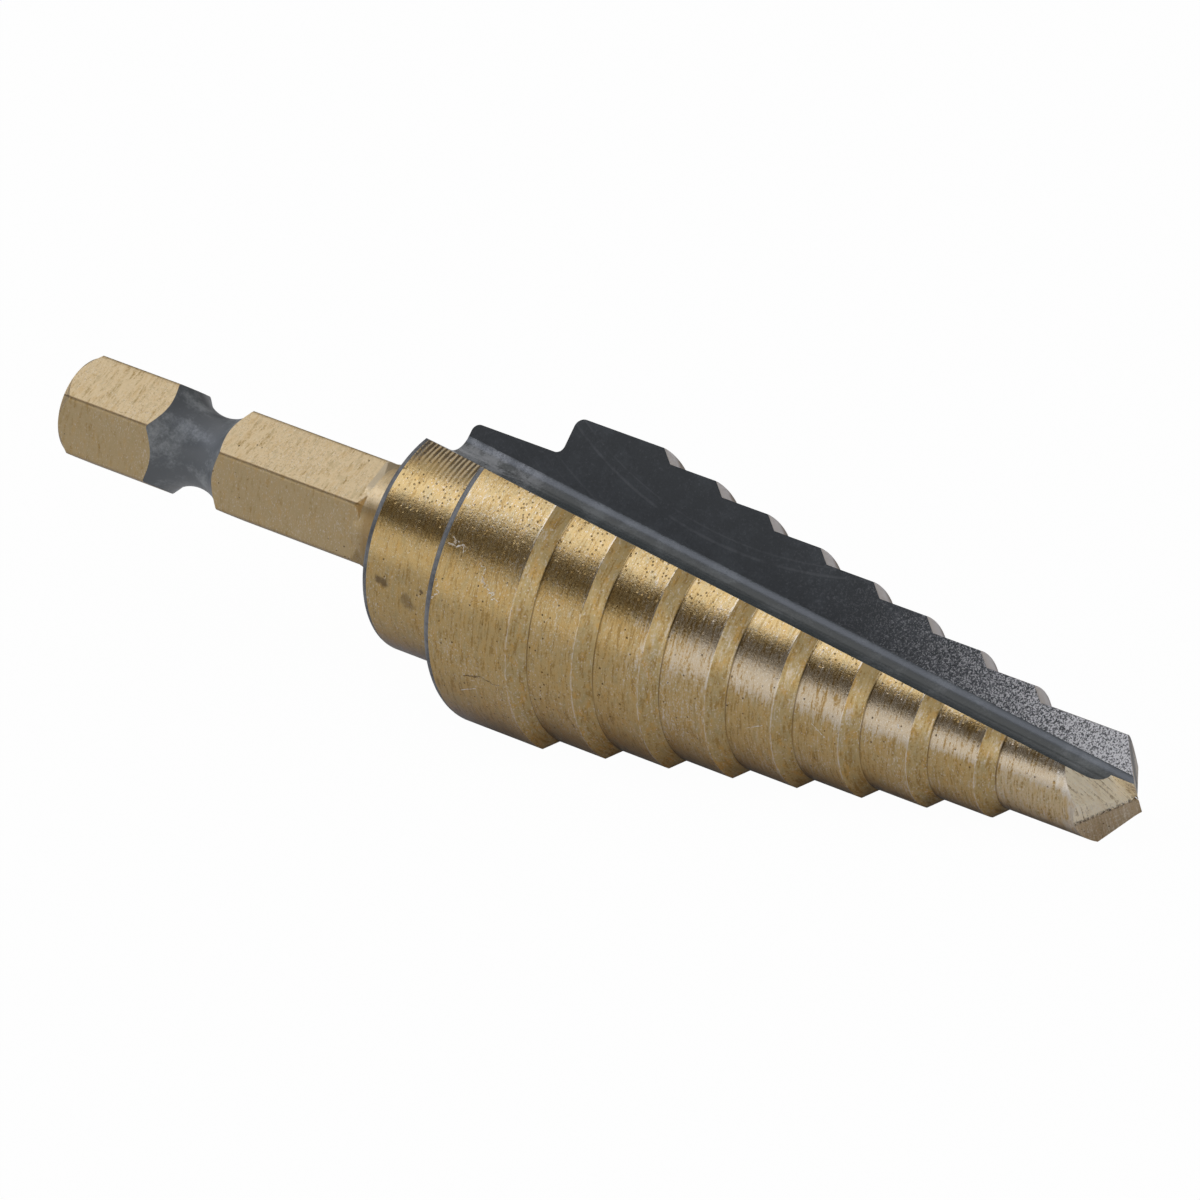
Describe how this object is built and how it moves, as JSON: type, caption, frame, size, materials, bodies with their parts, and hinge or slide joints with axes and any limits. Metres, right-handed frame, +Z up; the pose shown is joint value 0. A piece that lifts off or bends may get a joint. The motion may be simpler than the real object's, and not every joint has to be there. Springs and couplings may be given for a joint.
{
  "type": "step drill",
  "caption": "Stepped drill for thin sheet: stepped cutting lands with two straight flutes, a split point, a round collar and a hexagonal quick-change shank with a ball groove.",
  "frame": {"origin": "centre of the footprint on the floor, with the drill lying as it comes to rest", "axes": "+X along the drill towards its point, which dips 7.8 degrees; +Z up"},
  "size_m": [0.0762, 0.019, 0.0168],
  "materials": {
    "coated_steel": "ground steel with a gold nitride coat, worn, with black flutes and groove"
  },
  "bodies": {
    "root": {"step_drill": "coated_steel"}
  },
  "joints": []
}
